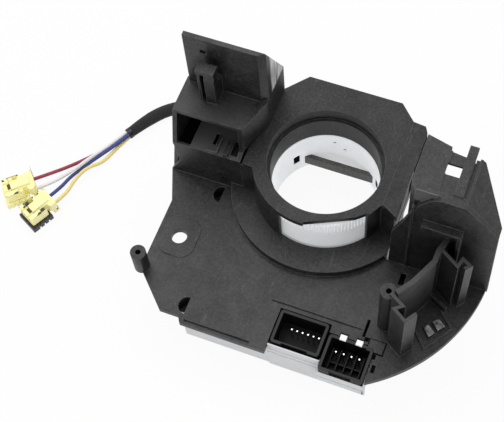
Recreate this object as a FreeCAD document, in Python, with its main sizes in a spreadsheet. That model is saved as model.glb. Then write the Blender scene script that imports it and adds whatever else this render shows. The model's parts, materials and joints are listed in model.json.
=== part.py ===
import FreeCAD, Part
import math
import os
import re
import Sketcher
from FreeCAD import Placement, Rotation, Vector

# Steering clock spring with its column switch housing.
# Frame: the column axis is Z, z = 0 is the top face of the column flange, +Z looks to the column,
# +X to the arched hood, -Y to the sockets. The turning side stands on the plane of rest_level.

SIZES = {
    # levels along the column axis
    "plate_top": -26.0, "plate_thick": 3.0, "ring_top": -22.0, "flange_thick": 2.5,
    "shelf_top": -1.0, "ledge_top": 17.5, "wall_top": 50.5, "hood_top": 38.0, "web_top": 10.2,
    "post_a_top": -13.0, "post_b_top": 8.0, "cover_base": -48.8, "board_top": -38.0, "rest_level": -56.0,
    "wall": 2.0, "rib": 1.4, "fit_gap": 0.3, "well_wall": 1.0, "well_base": -34.0,
    # base plate, seen from above
    "plate_left": -62.4, "plate_front": -76.7, "lip_front": -79.6, "plate_back": -11.5,
    "corner_cut": 15.0, "lip_left": -37.0, "wing_reach": 6.3, "wing_rise": 15.5,
    "sweep_radius": 74.5, "sweep_x": 4.7, "sweep_y": -15.3, "ring_radius": 41.5, "ring_cut": 35.3,
    "fix_x": -52.4, "fix_y": -42.5, "fix_radius": 3.5, "pad_width": 16.5, "pad_depth": 19.0,
    "pad_round": 6.0, "pad_rise": 0.5, "eye_radius": 3.9, "low_eye_x": -36.6, "low_eye_y": -71.4,
    "high_eye_x": -42.3, "high_eye_y": -17.1, "post_radius": 3.4, "post_hole": 1.2, "post_depth": 9.0,
    "post_a_x": -62.3, "post_a_y": -60.5, "post_b_x": 44.2, "post_b_y": -51.1,
    # left switch bay
    "bay_left": -65.3, "bay_right": -34.2, "bay_front": -12.0, "roof_front": -7.0, "bay_back": 10.5,
    "foot_left": -68.5, "notch_depth": 3.4, "notch_level": -16.0, "buttress_back": 28.0, "corner_bevel": 2.5,
    "latch_x": -55.6, "latch_y": 1.0, "latch_top": 40.0, "latch_width": 7.2, "latch_depth": 4.4,
    # right hood and pocket walls
    "hood_front": -22.8, "hood_left": 40.8, "hood_right": 78.2, "hood_back": 1.5, "slope_start": 64.0,
    "arch_low": 1.0, "arch_left": 36.2, "arch_shoulder": 22.5, "window_width": 6.2, "window_depth": 5.0,
    "window_x": 51.6, "window_y": -10.4, "guide_level": 20.0, "guide_depth": 3.4, "rail_end": 4.0,
    "guide_left": 48.4, "guide_right": 64.6,
    # column flange, bore and drum
    "bore_radius": 25.0, "throat_radius": 23.6, "throat_level": -6.5, "tube_end": -18.0,
    "tube_wall": 2.8, "flange_round": 31.0, "flange_left": -33.0, "flange_back": 37.8,
    "strip_left": 29.0, "strip_right": 36.2, "strip_front": -16.0, "strip_back": 30.2, "strip_rise": 0.5,
    "drum_root": 28.9, "tooth_depth": 0.55, "drum_teeth": 126.0, "teeth_top": -2.9, "teeth_base": -9.5,
    "drum_base": -26.0, "drum_wall": 1.8, "sleeve_radius": 23.5, "sleeve_wall": 2.0, "sleeve_end": -42.0,
    "case_radius": 35.0, "case_wall": 1.8, "skirt_thick": 2.4, "skirt_wall": 2.6, "cable_thick": 0.5,
    "cable_turns": 5.0,
    "bar_y": 17.0, "bar_thick": 2.0, "bar_top": -33.0, "bar_height": 6.0,
    "port_angle": 36.5, "port_width": 3.4, "port_height": 6.0, "port_top": -30.0,
    # angle sensor gears
    "gear_a_teeth": 15.0, "gear_b_teeth": 14.0, "gear_angle": 12.0, "axle_radius": 1.2,
    "axle_clearance": 0.05, "gear_thick": 4.6, "mesh_play": 0.12,
    # sockets, pins and pan
    "six_left": 1.7, "six_right": 23.0, "six_front": -74.8, "six_back": -59.6,
    "four_left": 24.2, "four_right": 43.6, "four_front": -79.4, "four_back": -63.2,
    "socket_top": -25.0, "socket_wall": 1.3, "socket_floor": 2.0, "pin_size": 0.64, "pin_top": -28.0,
    "six_pitch": 2.4, "six_row": -65.8, "six_shift": 1.9, "four_pitch": 3.4, "four_row": -68.9,
    "four_shift": 0.0, "slot_gap": 0.7,
    "peg_width": 2.8, "peg_depth": 2.4, "peg_pitch": 7.0, "peg_top": -24.5,
    "pan_left": -39.0, "pan_right": 44.0, "pan_front": -75.6, "pan_gap": 3.0, "pan_wall": 1.8,
    "pan_step": 1.0, "pan_joint": -37.5, "board_thick": 1.6, "board_post": 2.2,
    "screw_radius": 1.2,
    # pigtail
    "gland_reach": 3.47, "gland_width": 8.8, "gland_height": 6.6, "pigtail_radius": 2.7,
    "wire_radius": 0.85, "plug_length": 14.5, "plug_width": 10.0, "plug_height": 9.0,
    "plug_split": 3.6, "lock_length": 10.2, "lock_travel": 2.0, "lock_wing": 1.2,
}

doc = FreeCAD.newDocument("clock_spring")
sheet = doc.addObject("Spreadsheet::Sheet", "sizes")


# the sheet of driving sizes

def fill_sheet():
    for row, (alias, size) in enumerate(SIZES.items(), start=1):
        sheet.set("A%d" % row, alias)
        sheet.set("B%d" % row, str(size))
        sheet.setAlias("B%d" % row, alias)
    doc.recompute()


def cells(text):
    """An expression with every alias read from the sheet."""
    return re.sub(r"[a-z_]+[a-z0-9_]*", lambda m: "sizes." + m.group(0) if m.group(0) in SIZES else m.group(0),
                  str(text))


def size(alias):
    return float(sheet.get(alias))


def bind(item, **expressions):
    """Ties properties to expressions; a double underscore stands for a dot."""
    for name, text in expressions.items():
        item.setExpression(name.replace("__", "."), cells(text))
    return item


# primitives

def box(name, low, span):
    item = doc.addObject("Part::Box", name)
    bind(item, Placement__Base__x=low[0], Placement__Base__y=low[1], Placement__Base__z=low[2],
         Length=span[0], Width=span[1], Height=span[2])
    return item


def slab(name, x, y, z):
    """A box between two bounds on each axis."""
    return box(name, (x[0], y[0], z[0]),
               ["(%s) - (%s)" % (high, low) for low, high in (x, y, z)])


def cylinder(name, centre, radius, z):
    item = doc.addObject("Part::Cylinder", name)
    bind(item, Placement__Base__x=centre[0], Placement__Base__y=centre[1], Placement__Base__z=z[0],
         Radius=radius, Height="(%s) - (%s)" % (z[1], z[0]))
    return item


def ring(name, inner, outer, z, centre=("0", "0")):
    return cut(name, cylinder(name + "_out", centre, outer, z), cylinder(name + "_in", centre, inner, z))


def fuse(name, *items):
    item = doc.addObject("Part::MultiFuse", name)
    item.Shapes = list(items)
    item.Refine = True
    return item


def cut(name, base, *tools):
    item = doc.addObject("Part::Cut", name)
    item.Base = base
    item.Tool = tools[0] if len(tools) == 1 else fuse(name + "_tools", *tools)
    item.Refine = True
    return item


def common(name, first, second):
    item = doc.addObject("Part::MultiCommon", name)
    item.Shapes = [first, second]
    item.Refine = True
    return item


# sketches: XY looks down Z, XZ has its normal along -Y, YZ has its normal along +X

TURNS = {"XY": Rotation(), "XZ": Rotation(Vector(1, 0, 0), 90), "YZ": Rotation(Vector(1, 1, 1), 120)}
LEVEL = {"XY": "Placement__Base__z", "XZ": "Placement__Base__y", "YZ": "Placement__Base__x"}


def draw(sketch, points, closed=True):
    """A polygon whose corners are tied to the sheet by their distances from the origin."""
    count = len(points)
    for index in range(count if closed else count - 1):
        sketch.addGeometry(Part.LineSegment(Vector(index, index * index, 0), Vector(index + 1, (index + 1) ** 2, 0)))
    lines = count if closed else count - 1
    for index in range(lines - 1):
        sketch.addConstraint(Sketcher.Constraint("Coincident", index, 2, index + 1, 1))
    if closed:
        sketch.addConstraint(Sketcher.Constraint("Coincident", lines - 1, 2, 0, 1))
    for index, point in enumerate(points):
        edge, end = (index, 1) if index < lines else (index - 1, 2)
        for kind, text in zip(("DistanceX", "DistanceY"), point):
            number = sketch.addConstraint(Sketcher.Constraint(kind, -1, 1, edge, end, 1.0))
            sketch.setExpression("Constraints[%d]" % number, cells(text))
    return sketch


def prism(name, plane, points, level, height):
    """A polygon drawn at a level and run along the plane's normal by a height."""
    sketch = doc.addObject("Sketcher::SketchObject", name + "_outline")
    sketch.Placement = Placement(Vector(), TURNS[plane])
    bind(sketch, **{LEVEL[plane]: level})
    draw(sketch, points)
    item = doc.addObject("Part::Extrusion", name)
    item.Base = sketch
    item.DirMode = "Normal"
    item.Solid = True
    bind(item, LengthFwd=height)
    return item


def wall(name, points, thick, z):
    """An upright wall; seen from above, its thickness lies to the right of the path."""
    sketch = doc.addObject("Sketcher::SketchObject", name + "_path")
    bind(sketch, Placement__Base__z=z[0])
    draw(sketch, points, closed=False)
    band = doc.addObject("Part::Offset2D", name + "_band")
    band.Source = sketch
    band.Mode = "Skin"
    band.Join = "Intersection"
    band.Fill = True
    bind(band, Value=thick)
    item = doc.addObject("Part::Extrusion", name)
    item.Base = band
    item.DirMode = "Custom"
    item.Dir = Vector(0, 0, 1)
    item.Solid = True
    bind(item, LengthFwd="(%s) - (%s)" % (z[1], z[0]))
    return item


def rounded(name, low, span, radius, z):
    """An upright block with four rounded corners."""
    block = box(name + "_block", (low[0], low[1], z[0]), (span[0], span[1], "(%s) - (%s)" % (z[1], z[0])))
    doc.recompute()
    item = doc.addObject("Part::Fillet", name)
    item.Base = block
    upright = [index for index, edge in enumerate(block.Shape.Edges, start=1)
               if abs(edge.tangentAt(edge.FirstParameter).z) > 0.99]
    item.Edges = [(index, size(radius), size(radius)) for index in upright]
    return item


def body(label):
    item = doc.addObject("PartDesign::Body", label)
    item.Label = label
    return item


def plane_sketch(owner, role, name):
    sketch = owner.newObject("Sketcher::SketchObject", name)
    origin = next(feature for feature in owner.Origin.OriginFeatures if feature.Role == role)
    sketch.AttachmentSupport = [(origin, "")]
    sketch.MapMode = "FlatFace"
    return sketch


def revolve(owner, points, name):
    """Turns a half section, radius by height, about the column axis."""
    sketch = draw(plane_sketch(owner, "XZ_Plane", name + "_section"), points)
    feature = owner.newObject("PartDesign::Revolution", name)
    feature.Profile = sketch
    feature.ReferenceAxis = (sketch, ["V_Axis"])
    feature.Angle = 360
    sketch.Visibility = False
    return feature


def shape(label, solid, place=Placement()):
    """A sub-part whose solid is worked out from the sheet's sizes."""
    item = doc.addObject("Part::Feature", label)
    item.Shape = solid
    item.Placement = place
    return name_part(item, label)


PARTS = []


def name_part(item, label):
    item.Label = label
    PARTS.append(item)
    return item


# switch housing

def base_plate():
    under = "plate_top - plate_thick"
    left = prism("plate_left_half", "XY", [
        ("plate_left - wing_reach", "plate_back"), ("plate_left", "plate_back - wing_rise"),
        ("plate_left", "plate_front + corner_cut"), ("plate_left + corner_cut", "plate_front"),
        ("lip_left - 1.8", "plate_front"), ("lip_left", "lip_front"),
        ("six_left - 1.2", "lip_front"), ("sweep_x + 38", "lip_front"),
        ("sweep_x + 38", "hood_front"), ("ring_cut", "hood_front"), ("ring_cut", "plate_back")],
        under, "plate_thick")
    sweep = common("plate_sweep",
                   slab("plate_right_block", ("sweep_x + 30", "sweep_x + sweep_radius + 5"),
                        ("lip_front", "hood_front"), (under, "plate_top")),
                   cylinder("plate_sweep_disc", ("sweep_x", "sweep_y"), "sweep_radius", (under, "plate_top")))
    step = cut("ring_step", cylinder("ring_disc", ("0", "0"), "ring_radius", (under, "ring_top")),
               slab("ring_side", ("ring_cut", "ring_radius + 5"), ("hood_front", "ring_radius + 5"),
                    ("plate_top - 10", "ring_top + 5")))
    floor = slab("bay_base", ("foot_left", "bay_right"), ("plate_back - 0.5", "bay_back + 1.5"),
                 (under, "plate_top"))
    pad = rounded("fixing_pad", ("fix_x - pad_width / 2", "fix_y - pad_depth / 2"), ("pad_width", "pad_depth"),
                  "pad_round", ("plate_top - 1", "plate_top + pad_rise"))
    return [left, sweep, step, floor, pad] + wells()


WELL_REACH = "(eye_radius + well_wall + 0.2)"
WELL_LEVELS = ("well_base - well_wall", "plate_top - plate_thick + 0.5")
KEY_SLOT = (("43.4", "45.8"), ("-32.3", "-26.8"))


def grown(bounds, reach):
    low, high = bounds
    return low + " - " + reach, high + " + " + reach


def wells():
    """Closed wells under the plate's two D-shaped holes and its key slot."""
    low_well = slab("low_well", ("low_eye_x - " + WELL_REACH, "low_eye_x + well_wall"),
                    ("pan_front + pan_wall + fit_gap", "low_eye_y + " + WELL_REACH), WELL_LEVELS)
    high_well = cylinder("high_well", ("high_eye_x", "high_eye_y"), WELL_REACH, WELL_LEVELS)
    key_well = slab("key_well", grown(KEY_SLOT[0], "well_wall"), grown(KEY_SLOT[1], "well_wall"), WELL_LEVELS)
    return [low_well, high_well, key_well]


def half_eye(name, x, y):
    """A D-shaped hole: half a disc, flat side to the right, down to the bottom of its well."""
    low, high = "well_base", "plate_top + 1"
    return common(name, cylinder(name + "_disc", (x, y), "eye_radius", (low, high)),
                  slab(name + "_half", (x + " - eye_radius - 1", x), (y + " - eye_radius - 1", y + " + eye_radius + 1"),
                       (low, high)))


def plate_cuts():
    low, high = "plate_top - plate_thick - 1", "plate_top + 1"
    return [
        cylinder("drum_hole", ("0", "0"), "drum_root + tooth_depth + fit_gap + 0.1", (low, "ring_top + 1")),
        cylinder("fixing_hole", ("fix_x", "fix_y"), "fix_radius", (low, high)),
        half_eye("low_eye", "low_eye_x", "low_eye_y"),
        half_eye("high_eye", "high_eye_x", "high_eye_y"),
        slab("six_notch", ("six_left - slot_gap", "six_right + slot_gap"), ("lip_front - 1", "six_back + slot_gap"),
             (low, high)),
        slab("four_notch", ("four_left - slot_gap", "four_right + slot_gap"), ("lip_front - 1", "four_back + slot_gap"),
             (low, high)),
        slab("rear_groove", ("six_left - 5.4", "ring_cut + 0.6"), ("six_back + 2.2", "six_back + 3"),
             ("plate_top - 0.8", high)),
        slab("side_slot", ("ring_cut + 1.7", "ring_cut + 2.9"), ("six_back", "six_back + 8"), (low, high)),
        slab("lip_groove", ("lip_left + 1.5", "six_left - 7.9"), ("lip_front + 1.1", "lip_front + 2"),
             ("plate_top - 1", high)),
        slab("key_slot", *KEY_SLOT, ("well_base", high)),
        cylinder("post_a_hole", ("post_a_x", "post_a_y"), "post_hole", ("post_a_top - post_depth", "post_a_top + 1")),
        cylinder("post_b_hole", ("post_b_x", "post_b_y"), "post_hole", ("post_b_top - post_depth", "post_b_top + 1")),
    ] + [slab("peg_notch_%d" % index, grown(bounds, "0.4"), ("four_back", "four_back + peg_depth"), (low, high))
         for index, bounds in enumerate(peg_bounds())]


def posts():
    under = "plate_top - 1"
    return [
        cylinder("post_a", ("post_a_x", "post_a_y"), "post_radius", (under, "post_a_top")),
        cylinder("post_b", ("post_b_x", "post_b_y"), "post_radius", (under, "post_b_top")),
    ]


def left_bay():
    """Two bays one above the other, the tall rear wall, its buttress and the latch."""
    front_wall = prism("bay_front_wall", "XZ", [
        ("foot_left", "plate_top - 1"), ("foot_left", "plate_top"),
        ("foot_left + notch_depth + 1.5", "notch_level"), ("bay_left", "shelf_top"),
        ("bay_right", "shelf_top"), ("bay_right", "plate_top - 1")], "bay_front + wall", "wall")
    side = prism("bay_side", "YZ", [
        ("bay_front", "shelf_top - wall"), ("bay_front", "shelf_top"), ("roof_front", "ledge_top"),
        ("bay_back", "ledge_top"), ("bay_back", "shelf_top - wall")], "bay_left", "wall")
    skirt = prism("bay_skirt", "XZ", [
        ("bay_left", "shelf_top"), ("bay_left + wall", "shelf_top"), ("foot_left + wall", "plate_top"),
        ("foot_left", "plate_top")], "bay_back", "bay_back - bay_front - wall")
    right_low = prism("bay_right_low", "YZ", [
        ("bay_front", "plate_top - 1"), ("bay_front", "shelf_top"), ("bay_front + 4", "0.6"),
        ("bay_back", "0.6"), ("bay_back", "plate_top - 1")], "bay_right - wall", "wall")
    slant = [("bay_right + 0.2", "roof_front"), ("bay_right + 5.4", "bay_back - wall"), ("bay_right + 5.4", "bay_back")]
    right_high = prism("bay_right_high", "XY", [("bay_right - wall", "bay_back"), ("bay_right - wall", "roof_front")]
                       + slant, "0.6", "ledge_top - 0.6")
    shelf = slab("shelf", ("bay_left", "bay_right"), ("bay_front", "bay_back"), ("shelf_top - wall", "shelf_top"))
    roof = prism("ledge", "XY", [("bay_left", "bay_back"), ("bay_left", "roof_front")] + slant,
                 "ledge_top - wall", "wall")
    rear_low = slab("rear_wall_low", ("bay_left + 1.6", "bay_right"), ("bay_back - wall", "bay_back"),
                    ("shelf_top - wall", "1"))
    rear = slab("rear_wall", ("bay_left + 1.6", "bay_right + wall + 1.4"), ("bay_back - wall", "bay_back"),
                ("0.6", "wall_top"))
    buttress = prism("buttress", "YZ", [
        ("bay_back - wall", "0.6"), ("bay_back - wall", "wall_top"), ("bay_back", "wall_top"),
        ("buttress_back", "ledge_top"), ("buttress_back", "0.6")], "bay_right + wall + 1.4", "wall")
    far_rib = prism("far_rib", "YZ", [
        ("bay_back - 1", "ledge_top - 1"), ("bay_back - 1", "wall_top - 6"), ("bay_back + 7", "ledge_top - 1")],
        "bay_left + 8", "wall")
    strip_rib = slab("shelf_rib", ("-42.3", "-40"), ("bay_front", "bay_front + 7.5"), ("shelf_top - 1", "shelf_top + 2.4"))
    hook_rib = wall("hook_rib", [("-50.4", "bay_front + 1.2"), ("-45.9", "bay_front + 1.2"), ("-45.9", "bay_front + 8.4")],
                    "1.0", ("shelf_top - 1", "shelf_top + 1.2"))
    return [front_wall, side, skirt, right_low, right_high, shelf, roof, rear_low, rear, buttress, far_rib,
            strip_rib, hook_rib] + latch()


def latch():
    """The upright spring latch in front of the rear wall, with its hooked head."""
    stem = prism("latch_stem", "YZ", [
        ("latch_y", "ledge_top - 1"), ("latch_y", "latch_top - 6"), ("latch_y + 1.6", "latch_top - 1"),
        ("latch_y + latch_depth", "latch_top - 1"), ("latch_y + latch_depth", "ledge_top - 1")],
        "latch_x + 2.8", "latch_width - 2.8")
    fin = slab("latch_fin", ("latch_x", "latch_x + 1.1"), ("latch_y", "latch_y + latch_depth"),
               ("ledge_top - 1", "latch_top - 1"))
    web = slab("latch_web", ("latch_x", "latch_x + latch_width"), ("latch_y + latch_depth - 1.2", "bay_back - 0.5"),
               ("ledge_top - 1", "ledge_top + 12"))
    back = slab("latch_back", ("latch_x", "latch_x + latch_width"),
                ("latch_y + latch_depth - 1.2", "latch_y + latch_depth"), ("ledge_top - 1", "latch_top - 1"))
    head = slab("latch_head", ("latch_x - 0.4", "latch_x + latch_width + 0.4"),
                ("latch_y - 0.4", "latch_y + latch_depth"), ("latch_top - 2.4", "latch_top"))
    return [stem, fin, web, back, head]


def bay_cuts():
    low, high = "shelf_top - wall - 1", "shelf_top + 3"
    return [
        slab("floor_window", ("bay_left + wall", "bay_left + wall + 5.8"), ("bay_front + 1.2", "bay_back - wall - 3"),
             (low, "shelf_top + 1")),
        slab("floor_slot", ("-48.6", "-47"), ("bay_front + 4.6", "bay_front + 10.2"), (low, "shelf_top + 1")),
        slab("floor_corner", ("-39.6", "bay_right - wall"), ("bay_front + wall", "bay_front + 9"), (low, high)),
        slab("wall_hole", ("-56.6", "-54"), ("bay_back - wall - 1", "bay_back - 0.4"), ("41", "43.4")),
        prism("wall_chamfer", "XY", [
            ("bay_right + 5.4 - corner_bevel", "bay_back - wall - 0.01"), ("bay_right + 5.42", "bay_back - wall - 0.01"),
            ("bay_right + 5.42", "bay_back - wall + corner_bevel")], "ledge_top", "wall_top"),
    ]


def hood():
    """The arched front wall with the roofed bay behind it and its sloping right side."""
    arch = prism("arch_wall", "XZ", [
        ("arch_left", "plate_top - 1"), ("arch_left", "arch_low"), ("arch_left + 4", "arch_low + 11"),
        ("arch_left + 7.2", "hood_top - 15"), ("arch_left + 10", "hood_top - 8"), ("arch_left + 13.8", "hood_top - 2.4"),
        ("arch_left + 17.7", "hood_top"), ("slope_start", "hood_top"), ("hood_right", "arch_shoulder"),
        ("hood_right + 1.2", "plate_top - 1")], "hood_front + wall", "wall")
    corner = [("hood_left", "hood_front + 6"), ("hood_left + 2.6", "hood_front + wall"),
              ("arch_left + 17.7", "hood_front + wall")]
    bend = prism("hood_corner", "XY", corner + [
        ("arch_left + 17.7", "hood_front + 2 * wall"), ("hood_left + 3.6", "hood_front + 2 * wall"),
        ("hood_left + wall", "hood_front + 6.6")], "plate_top - 1", "hood_top - plate_top + 0.5")
    roof = prism("hood_roof", "XY", corner + [
        ("arch_left + 17.7", "hood_front + 0.5"), ("slope_start", "hood_front + 0.5"),
        ("slope_start", "hood_back - 1.7"), ("slope_start - 2.4", "hood_back - 1.7"),
        ("slope_start - 2.4", "hood_back - 3.4"), ("slope_start - 6", "hood_back - 2.4"),
        ("hood_left + 10.6", "hood_back - 1.6"), ("hood_left + 10.4", "hood_back"), ("hood_left", "hood_back + 2.5")],
        "hood_top - wall", "wall")
    slope = prism("hood_slope", "XZ", [
        ("slope_start - 0.2", "hood_top"), ("hood_right", "arch_shoulder"), ("hood_right", "arch_shoulder - 2.8"),
        ("slope_start - 0.2", "hood_top - 2.8")], "hood_back - 1.7", "hood_back - 1.7 - hood_front")
    slope_trim = prism("slope_trim", "XY", [
        ("slope_start", "hood_back"), ("hood_right + 1", "hood_back"), ("hood_right + 1", "hood_front + 3.6")],
        "arch_shoulder - 5", "30")
    left = slab("hood_left_wall", ("hood_left", "hood_left + wall"), ("hood_front + 6", "hood_back"),
                ("plate_top - 1", "hood_top - 0.5"))
    right = slab("hood_right_wall", ("hood_right - wall", "hood_right"), ("hood_front", "hood_front + 3.6"),
                 ("plate_top - 1", "arch_shoulder"))
    rail = slab("roof_rail", ("hood_left + 16.8", "hood_left + 20.4"), ("hood_front + 4", "rail_end"),
                ("hood_top - wall", "hood_top + 0.8"))
    sunk = slab("roof_sunk", ("hood_left + 11.2", "hood_left + 16.8"), ("hood_front + 4", "hood_back + 5"),
                ("hood_top - 0.7", "hood_top + 1"))
    groove = slab("roof_groove", ("hood_left + 20.6", "slope_start - 1"), ("hood_front + 4", "hood_back + 5"),
                  ("hood_top - 1.5", "hood_top + 1"))
    window = slab("roof_window", ("window_x", "window_x + window_width"), ("window_y", "window_y + window_depth"),
                  ("hood_top - 5", "hood_top + 2"))
    covered = cut("hood_cover", fuse("hood_shell", roof, cut("hood_side", slope, slope_trim)), sunk, groove, window)
    guide_top = slab("guide_top", ("guide_left", "guide_right"), ("hood_front - guide_depth", "hood_front + 1"),
                     ("guide_level - rib", "guide_level"))
    guide_leg = slab("guide_leg", ("guide_right - rib", "guide_right"), ("hood_front - guide_depth", "hood_front + 1"),
                     ("plate_top - 1", "guide_level"))
    wall_rib = slab("wall_rib", ("guide_left - 5", "guide_left - 4.2"), ("hood_front - 0.6", "hood_front + 1"),
                    ("plate_top - 1", "guide_level + 8"))
    return [arch, bend, covered, left, right, rail, guide_top, guide_leg, wall_rib]


def pocket_walls():
    low, high = "plate_top - 1", "web_top"
    web = wall("pocket_web", [("46.4", "-50.9"), ("51", "-44.6"), ("56.2", "-33.6"), ("56.4", "-28.2"),
                              ("58.3", "hood_front + 0.4")], "2.2", (low, high))
    near = wall("near_channel", [("post_b_x + 1.5", "post_b_y - 0.8"), ("52.7", "-56.1"), ("49.8", "-58.3"),
                                 ("53.9", "-61"), ("56.6", "-57")], "rib", (low, high))
    right = wall("right_channel", [("58.6", "-27.3"), ("65.9", "-32"), ("66.9", "-28.2"), ("72", "-30.9"),
                                   ("69.6", "-33.6")], "rib", (low, high))
    frame = wall("floor_frame", [("56.6", "-49.2"), ("62.4", "-55.6"), ("70", "-44.6"), ("63.6", "-38.4")],
                 "1.0", (low, "plate_top + 1.4"))
    ramp_a = prism("ramp_a", "XY", [("59.2", "-48"), ("61.2", "-46.4"), ("64.6", "-49"), ("62.9", "-51.6")],
                   low, "3.4")
    ramp_b = prism("ramp_b", "XY", [("62.2", "-44.8"), ("64.4", "-42.4"), ("67.7", "-44.9"), ("65.6", "-47.6")],
                   low, "3.4")
    rib = prism("floor_rib", "XY", [("55.4", "-31.4"), ("54.8", "-32.6"), ("65.6", "-38.2"), ("66.2", "-37")],
                low, "5")
    return [web, near, right, frame, ramp_a, ramp_b, rib]


def switch_housing():
    solid = fuse("housing_solid", *(base_plate() + posts() + left_bay() + hood() + pocket_walls()))
    return name_part(cut("switch_housing", solid, *(plate_cuts() + bay_cuts())), "switch_housing")


# column collar

def column_collar():
    flange = prism("flange_plate", "XY", [
        ("flange_left", "-12.4"), ("flange_left", "flange_back - 13.6"), ("flange_left + 4.5", "flange_back - 9"),
        ("flange_left + 12.4", "flange_back"), ("strip_left - 7.3", "flange_back"), ("strip_left + 0.2", "strip_back"),
        ("strip_left + 0.2", "-12"), ("23.8", "-17.9")], "-flange_thick", "flange_thick")
    disc = cylinder("flange_disc", ("0", "0"), "flange_round", ("-flange_thick", "0"))
    chord = prism("flange_chord", "XY", [("0.8", "-30.2"), ("20.2", "-21.1"), ("24.2", "-17.6"), ("34", "-20"),
                                         ("20", "-36"), ("0.8", "-33")], "-flange_thick - 1", "flange_thick + 2")
    strip = prism("flange_strip", "XY", [("strip_left", "-12"), ("strip_right", "strip_front"),
                                         ("strip_right", "strip_back - 3.6"), ("strip_right - 1.6", "strip_back - 0.6"),
                                         ("strip_left", "strip_back")],
                  "-flange_thick", "flange_thick + strip_rise")
    floor = "ring_top"
    side_wall = wall("collar_wall", [("flange_left + 0.5", "-12"), ("flange_left + 0.5", "flange_back - 13.8"),
                                     ("flange_left + 12.7", "flange_back - 0.5"), ("strip_left - 7.5", "flange_back - 0.5"),
                                     ("strip_left - 0.2", "strip_back - 0.1"), ("strip_left - 0.2", "-12.2"),
                                     ("23.9", "-17.4")],
                     "wall - 0.4", (floor, "-1"))
    strip_wall = wall("strip_wall", [("strip_left - 0.4", "strip_back - 0.2"), ("ring_cut - 0.2", "strip_back - 3.8"),
                                     ("ring_cut - 0.2", "strip_front + 1.4"), ("strip_left - 0.8", "-12")],
                      "wall - 0.4", (floor, "-1"))
    drum_reach = "drum_root + tooth_depth + fit_gap"
    inner = ring("collar_inner", drum_reach, "flange_round", (floor, "-1"))
    tube = ring("bore_tube", "throat_radius", "throat_radius + tube_wall", ("tube_end", "-1"))
    window = prism("drum_window", "XY", [("0", "0"), ("-11.8", "-33"), ("-11.8", "-50"), ("44", "-50"), ("44", "-33.2")],
                   floor + " - 1", "1 - ring_top")
    drum_space = cylinder("drum_space", ("0", "0"), drum_reach, (floor + " - 1", "-flange_thick"))
    outer = cut("collar_shell", fuse("collar_walls", side_wall, strip_wall, inner), window, drum_space)
    bore = cylinder("bore", ("0", "0"), "bore_radius", ("throat_level", "1"))
    throat = cylinder("throat", ("0", "0"), "throat_radius", ("-flange_thick - 1", "1"))
    plate = cut("flange_cut", fuse("flange_blank", flange, disc, strip), chord)
    solid = fuse("collar_solid", plate, outer, tube)
    return name_part(cut("column_collar", fuse("collar_axled", cut("collar_bored", solid, bore, throat, *gear_pockets()),
                                               *gear_axles()),
                         *screw_bores()), "column_collar")


def gear_centres():
    """Each gear's centre stands off the drum by both pitch radii and a little play."""
    places = []
    for teeth, side in (("gear_a_teeth", "+"), ("gear_b_teeth", "-")):
        reach = "(drum_root + tooth_depth / 2 + mesh_play + (drum_root + tooth_depth / 2) * %s / drum_teeth)" % teeth
        places.append((teeth, ("%s * sin(%sgear_angle)" % (reach, side), "%s * cos(gear_angle)" % reach)))
    return places


def gear_pockets():
    tools = []
    for index, (teeth, centre) in enumerate(gear_centres()):
        reach = "(drum_root + tooth_depth / 2) * %s / drum_teeth + tooth_depth / 2 + fit_gap + 0.2" % teeth
        tools.append(cylinder("gear_pocket_%d" % index, centre, reach, ("ring_top - 1", "-flange_thick")))
    return tools


def gear_axles():
    return [cylinder("gear_axle_%d" % index, centre, "axle_radius", ("teeth_base - 1", "-flange_thick + 0.5"))
            for index, (teeth, centre) in enumerate(gear_centres())]


SCREW_SPOTS = [("-27.4", "20.4"), ("31.8", "24"), ("31.8", "-8")]


def screw_bores():
    return [cylinder("collar_screw_hole_%d" % index, spot, "screw_radius", ("ring_top - 1", "ring_top + 8"))
            for index, spot in enumerate(SCREW_SPOTS)]


# turning side

def tooth_profile(root, depth, teeth, width_root, width_tip):
    """A closed outline of straight-flanked teeth; the widths are shares of one pitch."""
    points = []
    pitch = 2 * math.pi / teeth
    for index in range(int(teeth)):
        middle = index * pitch
        for radius, shift in ((root, -width_root / 2), (root + depth, -width_tip / 2),
                              (root + depth, width_tip / 2), (root, width_root / 2)):
            angle = middle + shift * pitch
            points.append(Vector(radius * math.cos(angle), radius * math.sin(angle), 0))
    return Part.makePolygon(points + points[:1])


def toothed_disc(root, depth, teeth, low, high, width_root=0.5, width_tip=0.22):
    face = Part.Face(tooth_profile(root, depth, teeth, width_root, width_tip))
    face.translate(Vector(0, 0, low))
    return face.extrude(Vector(0, 0, high - low))


def rotor_drum():
    """The white moulding: drum wall, web and inner sleeve are one turned section, teeth on top."""
    section = body("drum_section")
    revolve(section, [
        ("sleeve_radius", "sleeve_end"), ("sleeve_radius + sleeve_wall", "sleeve_end"),
        ("sleeve_radius + sleeve_wall", "tube_end - 2.4"), ("drum_root - drum_wall", "tube_end - 2.4"),
        ("drum_root - drum_wall", "drum_base"), ("drum_root", "drum_base"), ("drum_root", "teeth_top"),
        ("drum_root - drum_wall", "teeth_top"), ("drum_root - drum_wall", "tube_end - 0.4"),
        ("sleeve_radius", "tube_end - 0.4")], "drum_turning")
    doc.recompute()
    root, depth = size("drum_root"), size("tooth_depth")
    teeth = toothed_disc(root, depth, size("drum_teeth"), size("teeth_base"), size("teeth_top"))
    bore = Part.makeCylinder(root - size("drum_wall") / 2, 40, Vector(0, 0, size("teeth_base") - 20))
    solid = section.Shape.fuse(teeth.cut(bore)).removeSplitter()
    ports = []
    for angle in (size("port_angle"), 180 - size("port_angle")):
        port = Part.makeBox(size("sleeve_wall") + 4, size("port_width"), size("port_height"),
                            Vector(size("sleeve_radius") - 2, -size("port_width") / 2,
                                   size("port_top") - size("port_height")))
        port.rotate(Vector(), Vector(0, 0, 1), angle)
        ports.append(port)
    return shape("rotor_drum", solid.cut(ports))


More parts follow.
